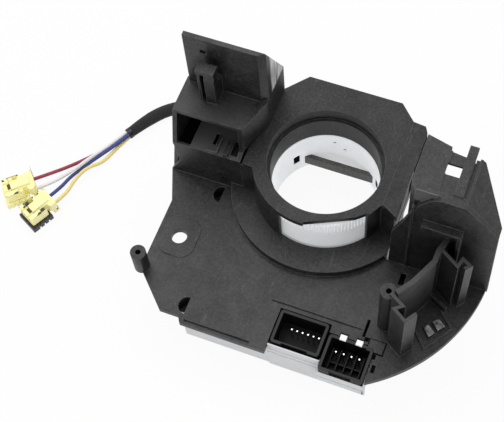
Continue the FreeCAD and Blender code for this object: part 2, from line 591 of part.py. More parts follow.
def rotor_skirt():
    skirt = body("rotor_skirt")
    hub = "sleeve_radius + sleeve_wall + 0.02"
    top = "sleeve_end + skirt_thick - fit_gap"
    revolve(skirt, [
        (hub, "sleeve_end"), (hub, top), ("case_radius - case_wall - 0.4", top),
        ("case_radius", "sleeve_end - fit_gap"), ("case_radius", "rest_level"),
        ("case_radius - skirt_wall", "rest_level"), ("case_radius - skirt_wall", "sleeve_end")], "skirt_turning")
    return name_part(skirt, "rotor_skirt")


def crossbar():
    bar = slab("bar_block", ("-sleeve_radius", "sleeve_radius"), ("bar_y", "bar_y + bar_thick"),
               ("bar_top - bar_height", "bar_top"))
    disc = cylinder("bar_reach", ("0", "0"), "sleeve_radius", ("bar_top - bar_height", "bar_top"))
    return name_part(common("crossbar", bar, disc), "crossbar")


def sensor_gear(label, teeth, side):
    pitch_radius = (size("drum_root") + size("tooth_depth") / 2) * size(teeth) / size("drum_teeth")
    reach = size("drum_root") + size("tooth_depth") / 2 + size("mesh_play") + pitch_radius
    angle = math.radians(90 - side * size("gear_angle"))
    centre = Vector(reach * math.cos(angle), reach * math.sin(angle), 0)
    low = size("teeth_base") + 0.4
    gear = toothed_disc(pitch_radius - size("tooth_depth") / 2, size("tooth_depth"), size(teeth), low,
                        low + size("gear_thick"), 0.56, 0.2)
    gear = gear.cut(Part.makeCylinder(size("axle_radius") + size("axle_clearance"), 30, Vector(0, 0, low - 5)))
    # the drum has a tooth at every multiple of its pitch, so the gear turns a gap towards the line of centres
    drum_phase = (math.degrees(angle) * size("drum_teeth") / 360.0) % 1.0
    turn = math.degrees(angle) + 180 + (0.5 + drum_phase) * 360.0 / size(teeth)
    print(label, "axis at", round(centre.x, 4), round(centre.y, 4))
    return shape(label, gear, Placement(centre, Rotation(Vector(0, 0, 1), turn)))


# reel case and coiled cable

def reel_case():
    case = body("reel_case")
    top = "plate_top - plate_thick"
    base = "sleeve_end + skirt_thick"
    revolve(case, [("case_radius - case_wall", top), ("case_radius", top), ("case_radius", base),
                   ("case_radius - case_wall", base)], "case_turning")
    return name_part(case, "reel_case")


CORNERS_PER_TURN = 20


def flat_cable():
    """The coiled flat cable: one closed spiral band of a few turns."""
    inner = size("sleeve_radius") + size("sleeve_wall") + 0.6
    outer = size("case_radius") - size("case_wall") - 0.8
    turns, thick = round(size("cable_turns")), size("cable_thick")
    corners = turns * CORNERS_PER_TURN
    low, high = size("sleeve_end") + size("skirt_thick") + 0.4, size("plate_top") - size("plate_thick") - 0.6
    line, back = [], []
    for index in range(corners + 1):
        share = index / corners
        radius = inner + (outer - inner) * share
        angle = 2 * math.pi * turns * share
        line.append(Vector(radius * math.cos(angle), radius * math.sin(angle), low))
        back.append(Vector((radius + thick) * math.cos(angle), (radius + thick) * math.sin(angle), low))
    ring_points = line + back[::-1] + line[:1]
    face = Part.Face(Part.makePolygon(ring_points))
    return shape("flat_cable", face.extrude(Vector(0, 0, high - low)))


# sockets, board and pan

PAN_BACK = "(0 - case_radius - pan_gap)"


def socket(label, side):
    left, right, front, back = (side + name for name in ("_left", "_right", "_front", "_back"))
    shell = rounded(label + "_shell", (left, front), ("%s - %s" % (right, left), "%s - %s" % (back, front)),
                    "socket_wall", ("board_top", "socket_top"))
    cavity = slab(label + "_cavity", (left + " + socket_wall", right + " - socket_wall"),
                  (front + " + socket_wall", back + " - socket_wall"),
                  ("board_top + socket_floor", "socket_top + 1"))
    key = slab(label + "_key", (left + " + 5", right + " - 5"), (front + " - 1", front + " + socket_wall / 2"),
               ("socket_top - 4", "socket_top + 1"))
    slots = peg_blocks(label + "_slot", "socket_top + 1") if side == "four" else []
    return name_part(cut(label, shell, cavity, key, *slots), label)


def pin_row(label, side, count):
    pins = []
    for index in range(count):
        x = "({0}_left + {0}_right) / 2 + {0}_shift + {1} * {0}_pitch".format(side, index - (count - 1) / 2)
        pins.append(slab("%s_%d" % (label, index), (x + " - pin_size / 2", x + " + pin_size / 2"),
                         (side + "_row - pin_size / 2", side + "_row + pin_size / 2"),
                         ("board_top + socket_floor", "pin_top")))
    group = doc.addObject("Part::Compound", label)
    group.Links = pins
    return name_part(group, label)


def peg_bounds():
    """The widths of the two coding pegs that stand through the back wall of the four-way socket."""
    middles = ["(four_left + four_right) / 2 - 0.3 %s peg_pitch / 2" % sign for sign in "-+"]
    return [(middle + " - peg_width / 2", middle + " + peg_width / 2") for middle in middles]


def peg_blocks(name, top):
    depth = ("four_back - socket_wall", "four_back - socket_wall + peg_depth")
    return [slab("%s_%d" % (name, index), bounds, depth, ("board_top", top))
            for index, bounds in enumerate(peg_bounds())]


def coding_pegs():
    group = doc.addObject("Part::Compound", "coding_pegs")
    group.Links = peg_blocks("coding_peg", "peg_top")
    return name_part(group, "coding_pegs")


def circuit_board():
    blank = slab("circuit_board", ("pan_left + pan_wall + fit_gap", "pan_right - pan_wall - fit_gap"),
                 ("pan_front + pan_wall + fit_gap", PAN_BACK + " - pan_wall - fit_gap"),
                 ("board_top - board_thick", "board_top"))
    return name_part(blank, "circuit_board")


BOARD_POSTS = [("pan_left + 7", "pan_front + 7"), ("pan_left + 7", PAN_BACK + " - 7"), ("0", PAN_BACK + " - 7"),
               ("pan_right - 8", PAN_BACK + " - 7"), ("0", "pan_front + 7")]


def lower_cover():
    top = "plate_top - plate_thick"
    upper = slab("pan_upper", ("pan_left", "pan_right"), ("pan_front", PAN_BACK), ("pan_joint", top))
    lower = slab("pan_lower", ("pan_left + pan_step", "pan_right - pan_step"),
                 ("pan_front", PAN_BACK + " - pan_step"), ("cover_base", "pan_joint + 0.5"))
    inside = slab("pan_inside", ("pan_left + pan_wall", "pan_right - pan_wall"),
                  ("pan_front + pan_wall", PAN_BACK + " - pan_wall"), ("cover_base + pan_wall", top + " + 1"))
    mouths = [slab("pan_" + side, (side + "_left - fit_gap", side + "_right + fit_gap"),
                   (side + "_front - 1", side + "_back"), ("board_top - fit_gap", top + " + 1"))
              for side in ("six", "four")]
    notch = slab("pan_well", ("pan_left - 1", "low_eye_x + well_wall + fit_gap"),
                 ("pan_front + pan_wall", "low_eye_y + fit_gap + " + WELL_REACH),
                 ("well_base - well_wall - fit_gap", top + " + 1"))
    shell = cut("pan_shell", fuse("pan_blank", upper, lower), inside, notch, *mouths)
    posts = [cylinder("board_post_%d" % index, spot, "board_post", ("cover_base", "board_top - board_thick"))
             for index, spot in enumerate(BOARD_POSTS)]
    return name_part(fuse("lower_cover", shell, *posts), "lower_cover")


# pigtail: gland, sleeve, wires and plugs

SLEEVE_ROUTE = [(-31.9, 21.5, -53.2), (-44.8, 30.2, -53.2), (-58.6, 36.4, -53.2), (-73.4, 38.6, -53.2),
                (-88, 33.9, -53.2), (-98.6, 23.6, -53.2), (-104.9, 11.2, -53.2)]
WIRE_ROUTES = {
    "wire_red": [(-105.75, 11.63, -54.15), (-110.3, 2.72, -54.15), (-118.4, -6.4, -54.9), (-125.2, -14.7, -53.8),
                 (-131.6, -22.3, -51.8), (-136.9, -26.9, -51.8)],
    "wire_white": [(-105.75, 11.63, -52.25), (-110.3, 2.72, -52.25), (-116.4, -6.4, -52.7), (-121.6, -16.2, -52.4),
                   (-128.2, -26.3, -51.8), (-133.5, -30.9, -51.8)],
    "wire_blue": [(-104.05, 10.77, -52.25), (-108.13, 2.75, -52.25), (-114.2, -5.8, -53.4), (-119.2, -12.9, -55),
                  (-121.7, -20, -53.2), (-122.9, -27, -51.8), (-126.1, -33.2, -51.8)],
    "wire_yellow": [(-104.05, 10.77, -54.15), (-107.6, 2.3, -54.4), (-110.4, -6.8, -54), (-115.7, -12.8, -51.9),
                    (-118.4, -20.6, -51.8), (-118.9, -29, -51.8), (-122.1, -35.2, -51.8)],
}
PLUG_SEATS = {"plug_a": (-135.2, -28.9, 221), "plug_b": (-124.1, -34.2, 243)}


def smooth_path(points):
    """Straight runs joined by tangent arcs, each as large as its two runs allow."""
    corners = [Vector(*point) for point in points]
    edges, start, radii = [], corners[0], []
    for before, corner, after in zip(corners, corners[1:], corners[2:]):
        into, out = corner - before, after - corner
        run = min(into.Length, out.Length)
        turn = into.getAngle(out)
        reach = 0.45 * run
        radii.append(reach / math.tan(turn / 2))
        first = corner - into.normalize() * reach
        last = corner + out.normalize() * reach
        middle = corner + (last - corner + first - corner).normalize() * (
            radii[-1] / math.cos(turn / 2) - radii[-1])
        edges.append(Part.LineSegment(start, first).toShape())
        edges.append(Part.Arc(first, middle, last).toShape())
        start = last
    edges.append(Part.LineSegment(start, corners[-1]).toShape())
    return Part.Wire(edges), radii


def tube(label, points, radius):
    path, radii = smooth_path(points)
    first = Vector(*points[1]) - Vector(*points[0])
    profile = Part.Wire(Part.makeCircle(radius, Vector(*points[0]), first))
    solid = path.makePipeShell([profile], True, True)
    print(label, "length", round(path.Length, 1), "radii", [round(value, 1) for value in radii],
          "volume share", round(solid.Volume / (math.pi * radius ** 2 * path.Length), 4))
    return shape(label, solid)


def cable_gland():
    """The square outlet on the skirt that the sleeve leaves through."""
    angle = math.atan2(SLEEVE_ROUTE[0][1], SLEEVE_ROUTE[0][0])
    reach = size("case_radius") + size("gland_reach")
    low, half = size("rest_level"), size("gland_width") / 2
    high = low + size("gland_height")
    outlet = Part.makeBox(size("gland_reach") + 1.5, 2 * half, high - low, Vector(reach - size("gland_reach") - 1.5, -half, low))
    outlet.rotate(Vector(), Vector(0, 0, 1), math.degrees(angle))
    drum = Part.makeCylinder(size("case_radius"), high - low + 2, Vector(0, 0, low - 1))
    return shape("cable_gland", outlet.cut(drum))


def block(x, y, z):
    """A plain box between two bounds on each axis, in the plug's own frame."""
    return Part.makeBox(x[1] - x[0], y[1] - y[0], z[1] - z[0], Vector(x[0], y[0], z[0]))


def seated(label, solid, owner):
    x, y, heading = PLUG_SEATS[owner]
    return shape(label, solid.removeSplitter(), Placement(Vector(x, y, 0), Rotation(Vector(0, 0, 1), heading)))


# each prong of the lock: along the plug, across it, both as shares of length and half width
PRONGS = [((0.42, 0.54), (0.62, 0.90)), ((0.66, 0.78), (-0.90, -0.62))]


def prong_bounds(reach_back, grow):
    """The prongs' boxes, grown for their slots and run back by the lock's travel."""
    length, half = size("plug_length"), size("plug_width") / 2
    return [((length * along[0] - reach_back, length * along[1] + grow), (half * across[0] - grow, half * across[1] + grow))
            for along, across in PRONGS]


def plug(label):
    """A flat two-way plug: an upper block with a latch arm, a lower core, and a heel where the wires go in."""
    length, half, height = size("plug_length"), size("plug_width") / 2, size("plug_height")
    low, play = size("rest_level"), size("fit_gap")
    split, top = low + size("plug_split"), low + height
    upper = block((0, length), (-half, half), (split, top))
    upright = [edge for edge in upper.Edges if abs(edge.tangentAt(edge.FirstParameter).z) > 0.99]
    upper = upper.makeFillet(0.8, upright)
    travel = size("lock_travel")
    heel = block((0, length - size("lock_length") - travel), (-half + 0.4, half - 0.4), (low, split + 0.5))
    core = block((1, length - travel - play), (-half * 0.5, half * 0.5), (low + 1, split + 0.5))
    arm = block((2, length - 3.4), (-half * 0.42, half * 0.42), (top - 0.5, top + 1))
    waist = [block((3.2, 5.4), (side * half - 0.9, side * half + 0.9), (split - 1, top + 1)) for side in (-1, 1)]
    mouth = block((length - 1.6, length + 1), (-half * 0.45, half * 0.45), (split + 0.8, top - 1.4))
    steps = [block((length - 3.2, length + 1), (side * half * 0.42 - 0.4, side * half * 0.42 + 0.4), (top - 1, top + 1))
             for side in (-1, 1)]
    slots = [block(along, across, (split - 1, top + 1)) for along, across in prong_bounds(travel + play, play)]
    solid = upper.fuse([heel, core, arm]).cut(waist + steps + [mouth] + slots)
    return seated(label, solid, label)


def plug_lock(label, owner):
    """The lock slides under the plug's upper block: a tray round the core, two wings and two prongs."""
    length, half, height = size("plug_length"), size("plug_width") / 2, size("plug_height")
    low, play = size("rest_level") + 0.02, size("fit_gap")
    split, wing = size("rest_level") + size("plug_split") - play, size("lock_wing")
    start = length - size("lock_length")
    tray = block((start, length + wing), (-half, half + wing), (low, split))
    channel = block((start - 1, length), (-half * 0.5 - play, half * 0.5 + play), (low + 1 - play - 0.02, split + 1))
    ribs = [block((start + share * size("lock_length"), start + share * size("lock_length") + 0.8),
                  (half + wing - 0.7, half + wing + 1), (low - 1, split + 1)) for share in (0.2, 0.45, 0.7)]
    prongs = [block(along, across, (split - 0.5, low + height)) for along, across in prong_bounds(0, 0)]
    return seated(label, tray.cut([channel] + ribs).fuse(prongs), owner)


fill_sheet()
switch_housing()
column_collar()
rotor_drum()
rotor_skirt()
crossbar()
sensor_gear("sensor_gear_a", "gear_a_teeth", 1)
sensor_gear("sensor_gear_b", "gear_b_teeth", -1)
reel_case()
flat_cable()
socket("socket_6", "six")
socket("socket_4", "four")
pin_row("socket_6_pins", "six", 6)
pin_row("socket_4_pins", "four", 4)
coding_pegs()
circuit_board()
lower_cover()
cable_gland()
tube("cable_sleeve", SLEEVE_ROUTE, size("pigtail_radius"))
for label, route in WIRE_ROUTES.items():
    tube(label, route, size("wire_radius"))
for label in PLUG_SEATS:
    plug(label)
    plug_lock(label + "_lock", label)

doc.recompute()
for item in doc.Objects:
    if "Invalid" in item.State or "Error" in item.State:
        raise RuntimeError("%s failed: %s" % (item.Label, item.State))
os.makedirs("parts", exist_ok=True)
for item in PARTS:
    if item.Shape.isNull() or not item.Shape.isValid():
        raise RuntimeError(item.Label + " has no valid shape")
    item.Shape.exportStep("parts/%s.step" % item.Label)
    print(item.Label, len(item.Shape.Solids), "solids", round(item.Shape.Volume / 1000, 2), "cm3",
          len(item.Shape.Faces), "faces")
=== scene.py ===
import json
import math

import bmesh
import bpy
import numpy as np
from mathutils import Matrix, Vector


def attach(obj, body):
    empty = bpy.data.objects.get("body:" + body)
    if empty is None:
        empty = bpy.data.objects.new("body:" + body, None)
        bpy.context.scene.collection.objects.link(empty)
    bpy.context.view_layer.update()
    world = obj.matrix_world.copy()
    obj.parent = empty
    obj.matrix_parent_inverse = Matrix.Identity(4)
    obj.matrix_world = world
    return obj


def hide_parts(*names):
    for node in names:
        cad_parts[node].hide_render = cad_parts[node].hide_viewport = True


# Steering clock spring with its switch housing. The sizes below are in millimetres, and mm makes them metres.
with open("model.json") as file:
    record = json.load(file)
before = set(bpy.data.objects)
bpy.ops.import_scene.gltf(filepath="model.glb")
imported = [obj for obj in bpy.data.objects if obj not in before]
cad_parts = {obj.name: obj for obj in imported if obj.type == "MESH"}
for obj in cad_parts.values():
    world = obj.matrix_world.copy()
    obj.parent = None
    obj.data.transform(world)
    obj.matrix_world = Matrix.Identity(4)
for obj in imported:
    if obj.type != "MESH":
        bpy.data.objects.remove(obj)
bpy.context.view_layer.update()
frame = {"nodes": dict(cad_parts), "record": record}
scene = bpy.context.scene
nodes = frame["nodes"]
mm = 0.001


def vec(x, y, z):
    return Vector((x * mm, y * mm, z * mm))


# camera

cameraView = {
    "place": (84.97, -237.488, 441.35),
    "right": (0.931739, 0.358953, -0.054914),
    "up": (-0.296551, 0.839435, 0.455420),
    "back": (0.209571, -0.408047, 0.888582),
    "sensor": 36,
    "lens": 86.07,
    "shift": (-0.0034, 0.0120),
    "clip": (0.01, 10),
}


def makeCamera(s):
    data = bpy.data.cameras.new("camera")
    camera = bpy.data.objects.new("camera", data)
    scene.collection.objects.link(camera)
    turn = Matrix((s["right"], s["up"], s["back"])).transposed()
    camera.matrix_world = Matrix.Translation(vec(*s["place"])) @ turn.to_4x4()
    data.sensor_width = s["sensor"]
    data.lens = s["lens"]
    data.shift_x, data.shift_y = s["shift"]
    data.clip_start, data.clip_end = s["clip"]
    scene.camera = camera


makeCamera(cameraView)
print("camera set")


# node helpers for materials

class Graph:
    # a short way to add nodes and wires to a node tree; a value below is a socket or a constant

    def __init__(self, tree):
        self.tree = tree

    def node(self, kind, **settings):
        item = self.tree.nodes.new(kind)
        for name, value in settings.items():
            setattr(item, name, value)
        return item

    def wire(self, source, target):
        self.tree.links.new(source, target)

    def put(self, value, target):
        if isinstance(value, bpy.types.NodeSocket):
            self.wire(value, target)
        else:
            target.default_value = value

    def maths(self, operation, first, second=0.0, clamp=False):
        item = self.node("ShaderNodeMath", operation=operation, use_clamp=clamp)
        self.put(first, item.inputs[0])
        self.put(second, item.inputs[1])
        return item.outputs[0]

    def vectors(self, operation, first, second=(0.0, 0.0, 0.0), output="Vector"):
        item = self.node("ShaderNodeVectorMath", operation=operation)
        self.put(first, item.inputs[0])
        self.put(second, item.inputs[1])
        return item.outputs[output]

    def scaled(self, vector, factor):
        item = self.node("ShaderNodeVectorMath", operation="SCALE")
        self.put(vector, item.inputs[0])
        self.put(factor, item.inputs["Scale"])
        return item.outputs["Vector"]

    def split(self, vector):
        item = self.node("ShaderNodeSeparateXYZ")
        self.wire(vector, item.inputs[0])
        return item.outputs["X"], item.outputs["Y"], item.outputs["Z"]

    def mixed(self, factor, first, second):
        # the first colour where the factor is zero, the second where it is one
        item = self.node("ShaderNodeMix", data_type="RGBA")
        for label, value in (("Factor", factor), ("A", first), ("B", second)):
            self.put(value, item.inputs[label])
        return item.outputs["Result"]

    def ramp(self, source, low, high, toLow=0.0, toHigh=1.0):
        # the source stretched from low..high to toLow..toHigh, held at both ends
        item = self.node("ShaderNodeMapRange")
        for label, value in (("Value", source), ("From Min", low), ("From Max", high), ("To Min", toLow),
                             ("To Max", toHigh)):
            self.put(value, item.inputs[label])
        return item.outputs["Result"]

    def coords(self):
        return self.node("ShaderNodeTexCoord").outputs["Object"]


def newGroup(name, inputs, outputs):
    # each input is (label, kind, default), each output (label, kind)
    tree = bpy.data.node_groups.new(name, "ShaderNodeTree")
    for label, kind, default in inputs:
        socket = tree.interface.new_socket(label, in_out="INPUT", socket_type=kind)
        socket.default_value = default
    for label, kind in outputs:
        tree.interface.new_socket(label, in_out="OUTPUT", socket_type=kind)
    g = Graph(tree)
    return tree, g, g.node("NodeGroupInput"), g.node("NodeGroupOutput")


def newMaterial(name):
    material = bpy.data.materials.new(name)
    material.use_nodes = True
    return material, Graph(material.node_tree), material.node_tree.nodes["Principled BSDF"]


def noise(g, coords, scale, detail):
    item = g.node("ShaderNodeTexNoise", noise_dimensions="3D")
    for label, value in (("Vector", coords), ("Scale", scale), ("Detail", detail)):
        g.put(value, item.inputs[label])
    return item.outputs["Fac"]


def pattern(g, coords, s):
    # a noise stretched from one range to another
    return g.ramp(noise(g, coords, s["scale"], s["detail"]), *s["from"], *s["to"])


def mapped(g, coords, stretch, turn=(0.0, 0.0, 0.0)):
    item = g.node("ShaderNodeMapping")
    for label, value in (("Vector", coords), ("Rotation", turn), ("Scale", stretch)):
        g.put(value, item.inputs[label])
    return item.outputs["Vector"]


def scratches(g, coords, s):
    # thin lines where a stretched noise passes its middle value, broken up by a finer noise
    place = mapped(g, coords, s["stretch"], s["turn"])
    off = g.maths("ABSOLUTE", g.maths("SUBTRACT", noise(g, place, s["scale"], 1), 0.5))
    broken = g.ramp(noise(g, place, s["scale"] * s["finer"], 1), *s["kept"])
    return g.maths("MULTIPLY", g.ramp(off, s["width"], 0.0), broken)


softFrom = 0.9  # how far out in a patch's box its edge begins to fade


def boxMask(g, coords, centre, half):
    # one inside a box, nought outside, from the largest of |place - centre| / half on the three axes
    share = g.vectors("DIVIDE", g.vectors("SUBTRACT", coords, vec(*centre)), vec(*half))
    x, y, z = g.split(g.vectors("ABSOLUTE", share))
    return g.ramp(g.maths("MAXIMUM", g.maths("MAXIMUM", x, y), z), 1.0, softFrom)


def raised(g, height, s, normal=None):
    # the normal of a surface that a height raises, from its flat normal or the given one
    item = g.node("ShaderNodeBump")
    item.inputs["Strength"].default_value = s["bump"]
    item.inputs["Distance"].default_value = s["reach"] * mm
    g.wire(height, item.inputs["Height"])
    if normal is not None:
        g.wire(normal, item.inputs["Normal"])
    return item.outputs["Normal"]


# a moulded surface: fine grain in its height, a mottle in its shade, drifting gloss, pale dust in specks,
# scratches, and paler edges where the rounded normal leaves the flat one, partly wear and partly a painted
# highlight

mouldedPatterns = {
    "grainDetail": 3,
    "drift": {"scale": 55, "detail": 3, "from": (0.3, 0.7), "to": (-0.06, 0.06)},
    "small": {"scale": 900, "detail": 4, "from": (0.35, 0.65), "to": (-1.0, 1.0)},
    "large": {"scale": 150, "detail": 3, "from": (0.35, 0.65), "to": (-0.45, 0.45)},
    "darkest": 0.1,
    "specks": {"scale": 1500, "detail": 4, "from": (0.55, 0.7), "to": (0.0, 1.0)},
    "drifts": {"scale": 120, "detail": 5, "from": (0.42, 0.68), "to": (0.0, 1.0)},
    "lines": [
        {"turn": (0.3, 0.2, 0.5), "stretch": (1.0, 0.3, 1.0), "scale": 110, "width": 0.006, "finer": 3.1,
         "kept": (0.5, 0.6)},
        {"turn": (0.1, 0.4, 2.1), "stretch": (1.0, 0.25, 1.0), "scale": 140, "width": 0.006, "finer": 3.1,
         "kept": (0.5, 0.6)}],
    "leaving": (0.985, 0.86),
    "rubbedAndLit": {"scale": 240, "detail": 4, "from": (0.25, 0.6), "to": (0.0, 1.0)},
}


def makeMouldedSurface(s):
    number = "NodeSocketFloat"
    tree, g, given, out = newGroup(
        "mouldedSurface",
        [("Grain", number, 1200.0), ("Depth", number, 0.3), ("Mottle", number, 0.3), ("Dust", number, 0.2),
         ("WearSheen", number, 0.3), ("Scratch", number, 0.3), ("Rough", number, 0.45),
         ("Edge Normal", "NodeSocketVector", (0.0, 0.0, 1.0))],
        [("Height", number), ("Roughness", number), ("Pale", number), ("Shade", number)])
    coords = g.coords()
    fine = noise(g, coords, given.outputs["Grain"], s["grainDetail"])
    g.wire(g.maths("MULTIPLY", fine, given.outputs["Depth"]), out.inputs["Height"])
    drift = pattern(g, coords, s["drift"])
    g.wire(g.maths("ADD", drift, given.outputs["Rough"], clamp=True), out.inputs["Roughness"])
    mottle = g.maths("ADD", pattern(g, coords, s["small"]), pattern(g, coords, s["large"]))
    shade = g.maths("ADD", g.maths("MULTIPLY", mottle, given.outputs["Mottle"]), 1.0)
    g.wire(g.maths("MAXIMUM", shade, s["darkest"]), out.inputs["Shade"])
    dust = g.maths("MULTIPLY", pattern(g, coords, s["specks"]), pattern(g, coords, s["drifts"]))
    lines = g.maths("ADD", *(scratches(g, coords, one) for one in s["lines"]))
    pale = g.maths("ADD", g.maths("MULTIPLY", dust, given.outputs["Dust"]),
                   g.maths("MULTIPLY", lines, given.outputs["Scratch"]))
    flat = g.node("ShaderNodeNewGeometry").outputs["Normal"]
    # edges paler where the rounded normal leaves the flat one: wear, and a painted highlight along the edges
    edge = g.ramp(g.vectors("DOT_PRODUCT", given.outputs["Edge Normal"], flat, "Value"), *s["leaving"])
    rubbedAndLit = g.maths("MULTIPLY", edge, pattern(g, coords, s["rubbedAndLit"]))
    wornAndLit = g.maths("MULTIPLY", rubbedAndLit, given.outputs["WearSheen"])
    g.wire(g.maths("ADD", pale, wornAndLit, clamp=True), out.inputs["Pale"])
    return tree


mouldedSurface = makeMouldedSurface(mouldedPatterns)
streaks = {"stretch": (1.0, 1.0, 0.12), "scale": 520, "detail": 4, "from": (0.3, 0.62), "to": (0.0, 1.0)}


def patched(g, colour, patches):
    # a grey laid over the colour inside each patch's box, painted light in most patches and wear in some, and
    # streaked along the column where the patch says so
    coords = g.coords()
    for patch in patches:
        mask = g.maths("MULTIPLY", boxMask(g, coords, patch["centre"], patch["half"]), patch["amount"])
        if patch.get("streaked"):
            mask = g.maths("MULTIPLY", mask, pattern(g, mapped(g, coords, streaks["stretch"]), streaks))
        colour = g.mixed(mask, colour, (*[patch["shade"]] * 3, 1))
    return colour


def paintedGlow(g, colour, s):
    # painted glow: the surface's own colour given off as light, standing in for light that passes through a
    # pale thin wall, dimmed outside the given radius
    if not s["paintedGlowInside"]:
        return colour
    x, y = g.split(g.coords())[:2]
    radius = g.maths("SQRT", g.maths("ADD", g.maths("MULTIPLY", x, x), g.maths("MULTIPLY", y, y)))
    outer = s["paintedGlowInside"] + s["paintedGlowFade"]
    return g.scaled(colour, g.ramp(radius, s["paintedGlowInside"] * mm, outer * mm, 1.0, s["paintedGlowOutside"]))


edgeSamples = 6  # rays for the rounded normal


def moulded(name, s):
    material, g, surface = newMaterial(name)
    group = g.node("ShaderNodeGroup", node_tree=mouldedSurface)
    for label in ("Grain", "Depth", "Mottle", "Dust", "WearSheen", "Scratch", "Rough"):
        group.inputs[label].default_value = s[label.lower()]
    edge = g.node("ShaderNodeBevel", samples=edgeSamples)
    edge.inputs["Radius"].default_value = s["edge"] * mm
    g.wire(edge.outputs["Normal"], group.inputs["Edge Normal"])
    own = g.scaled(s["colour"], group.outputs["Shade"])
    colour = patched(g, g.mixed(group.outputs["Pale"], own, (*s["pale"], 1)), s["patches"])
    g.wire(colour, surface.inputs["Base Color"])
    g.wire(group.outputs["Roughness"], surface.inputs["Roughness"])
    g.wire(raised(g, group.outputs["Height"], s, edge.outputs["Normal"]), surface.inputs["Normal"])
    surface.inputs["Specular IOR Level"].default_value = s["specular"]
    surface.inputs["Metallic"].default_value = s["metallic"]
    # painted glow: the finish gives off its own colour as light
    if s["glow"]:
        g.wire(paintedGlow(g, colour, s), surface.inputs["Emission Color"])
        surface.inputs["Emission Strength"].default_value = s["glow"]
    return material


# greyer places laid on the housing: painted light on the bay's floor and on the ledge, a streaked painted
# highlight on a face of the rear wall, the hood's front painted as light as the lit roof, worn pale clip tabs,
# painted light on the tops of the pocket's walls, and below, painted light on the top rims of the sockets
housingPatches = [
    {"centre": (-46.7, -4.6, -0.6), "half": (11.4, 7.6, 1.0), "shade": 0.09, "amount": 0.75},
    {"centre": (-49.0, -2.0, 17.6), "half": (16.5, 11.0, 0.5), "shade": 0.035, "amount": 0.4},
    {"centre": (-28.9, 20.6, 32.0), "half": (0.5, 6.6, 15.0), "shade": 0.75, "amount": 0.95, "streaked": True},
    {"centre": (46.2, -20.8, 34.6), "half": (6.6, 0.5, 4.8), "shade": 0.1, "amount": 1.0},
    {"centre": (64.6, -47.3, -23.6), "half": (4.4, 4.6, 0.5), "shade": 0.34, "amount": 0.9, "streaked": True},
    {"centre": (58.0, -42.0, 10.2), "half": (22.0, 24.0, 0.4), "shade": 0.035, "amount": 0.7},
]
# painted light: the sockets' top rims lightened against their darkened black
rimPatch = {"centre": (23.0, -69.0, -25.0), "half": (24.0, 12.0, 0.3), "shade": 0.04, "amount": 0.9}

